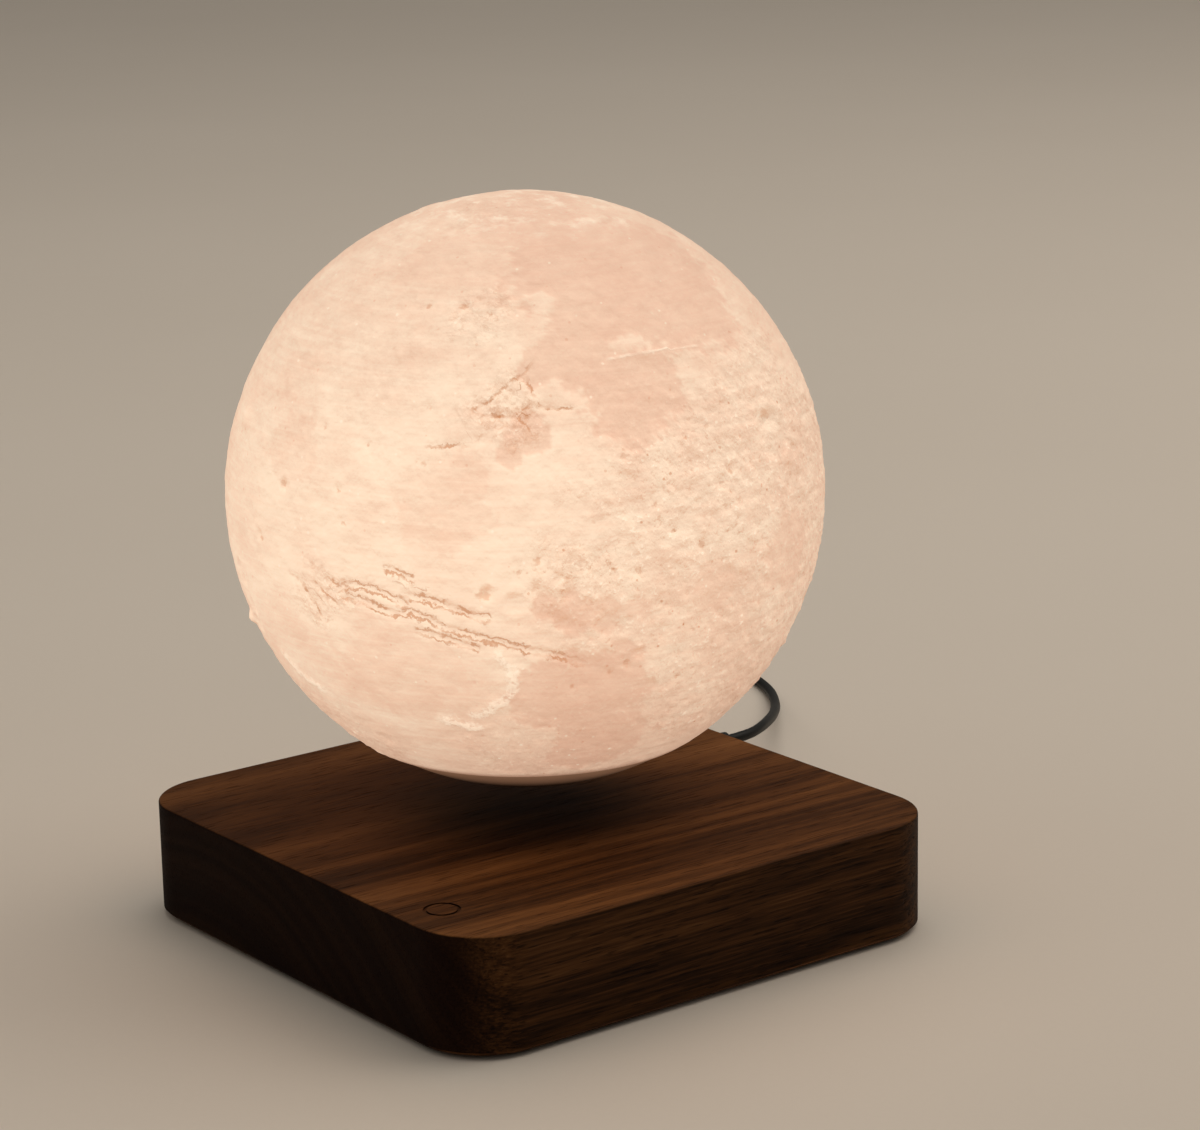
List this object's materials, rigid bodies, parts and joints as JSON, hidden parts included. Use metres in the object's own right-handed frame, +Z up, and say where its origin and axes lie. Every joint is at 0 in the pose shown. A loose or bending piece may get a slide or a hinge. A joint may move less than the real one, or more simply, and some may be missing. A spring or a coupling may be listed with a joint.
{
  "type": "levitating lamp",
  "caption": "Lit relief globe that floats and turns over a square walnut base with levitation magnets, coils and a corded adapter inside and behind.",
  "frame": {"origin": "on the table under the middle of the base, at the undersides of the feet", "axes": "+Z up through the globe's middle, -Y the front edge beside the touch ring, +Y the back with the power inlet"},
  "size_m": [0.2515, 0.2563, 0.1882],
  "materials": {
    "walnut": "satin",
    "cover_plastic": "matte",
    "foot_rubber": "matte",
    "zinc_steel": "satin",
    "board_laminate": "satin",
    "white_board": "satin",
    "chip_epoxy": "matte",
    "tray_plastic": "matte",
    "ferrite": "matte",
    "coil_copper": "gloss",
    "core_iron": "satin",
    "bobbin_nylon": "satin",
    "jack_plastic": "satin",
    "relief_plastic": "matte",
    "cap_plastic": "satin",
    "magnet_nickel": "satin",
    "light_resin": "gloss",
    "plug_nickel": "polished",
    "cord_vinyl": "matte",
    "adapter_plastic": "matte"
  },
  "bodies": {
    "base": {"base_housing": "walnut", "base_cover": "cover_plastic", "base_feet": "foot_rubber", "cover_screws": "zinc_steel", "touch_pad": "board_laminate", "control_board": "board_laminate", "board_parts": "chip_epoxy", "module_tray": "tray_plastic", "module_screws": "zinc_steel", "ring_magnet": "ferrite", "coil_bobbins": "bobbin_nylon", "coil_windings": "coil_copper", "coil_cores": "core_iron", "sensor_board": "board_laminate", "hall_sensors": "chip_epoxy", "sender_former": "tray_plastic", "sender_coil": "coil_copper", "dc_jack": "jack_plastic", "jack_nut": "zinc_steel", "plug_tip": "plug_nickel", "plug_grip": "cord_vinyl", "power_cord": "cord_vinyl", "cord_coil": "cord_vinyl", "cord_tail": "cord_vinyl", "cord_tie": "cord_vinyl", "adapter_relief": "cord_vinyl", "adapter_body": "adapter_plastic", "adapter_blades": "plug_nickel"},
    "float_magnet": {"float_magnet": "magnet_nickel"},
    "globe": {"globe_shell": "relief_plastic", "bottom_cap": "cap_plastic", "receiver_coil": "coil_copper", "receiver_board": "white_board", "board_screws": "zinc_steel", "receiver_parts": "chip_epoxy", "light_chips": "light_resin"}
  },
  "joints": [
    {"name": "globe_lift", "type": "slide", "parent": "base", "child": "float_magnet", "axis": [0, 0, 1], "range_m": [-0.011, 0.05], "stiffness_N_per_m": 51.789, "springref_m": 0.05},
    {"name": "globe_spin", "type": "hinge", "parent": "float_magnet", "child": "globe", "pos_m": [0, 0, 0.045], "axis": [0, 0, 1], "continuous": true}
  ]
}
